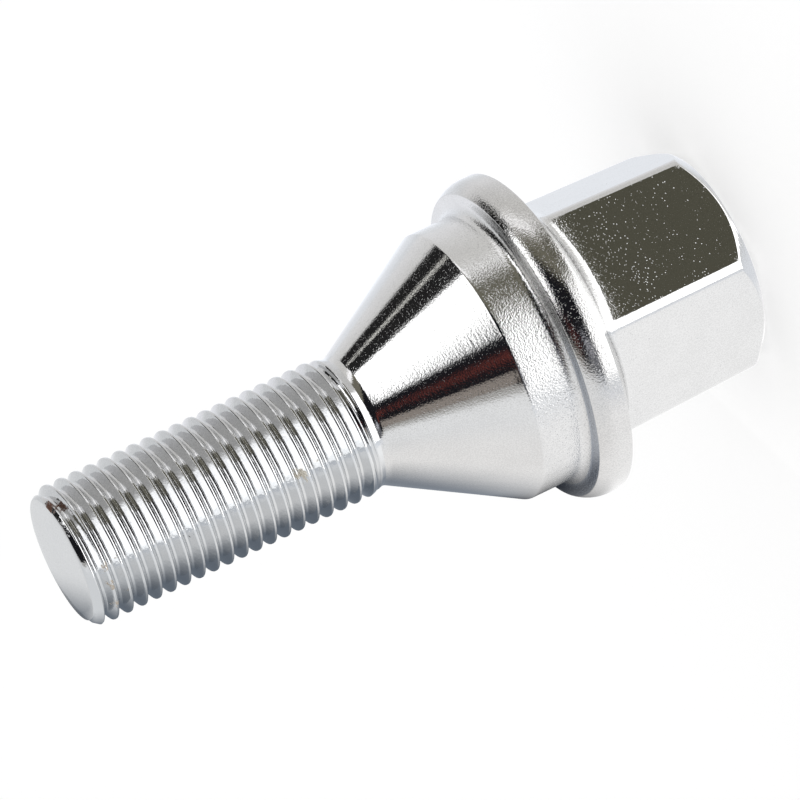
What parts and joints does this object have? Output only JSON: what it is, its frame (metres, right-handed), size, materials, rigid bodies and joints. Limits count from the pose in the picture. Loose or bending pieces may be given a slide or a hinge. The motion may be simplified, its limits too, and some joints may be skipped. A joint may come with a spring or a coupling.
{
  "type": "wheel lug bolt",
  "caption": "Chrome-plated wheel lug bolt: hexagon head on a round flange, conical seat, plain neck and a metric thread with a chamfered tip.",
  "frame": {"origin": "centre of the flat end face of the hexagon head, on the surface that the bolt stands on", "axes": "+Z along the bolt's axis from the head towards the thread's tip; +X through one corner of the hexagon"},
  "size_m": [0.0326, 0.0326, 0.0695],
  "materials": {
    "chrome_plate": "decorative chrome plate over forged steel, mirror bright with fine orange peel on the flange and seat band"
  },
  "bodies": {
    "root": {"wheel_lug_bolt": "chrome_plate"}
  },
  "joints": []
}
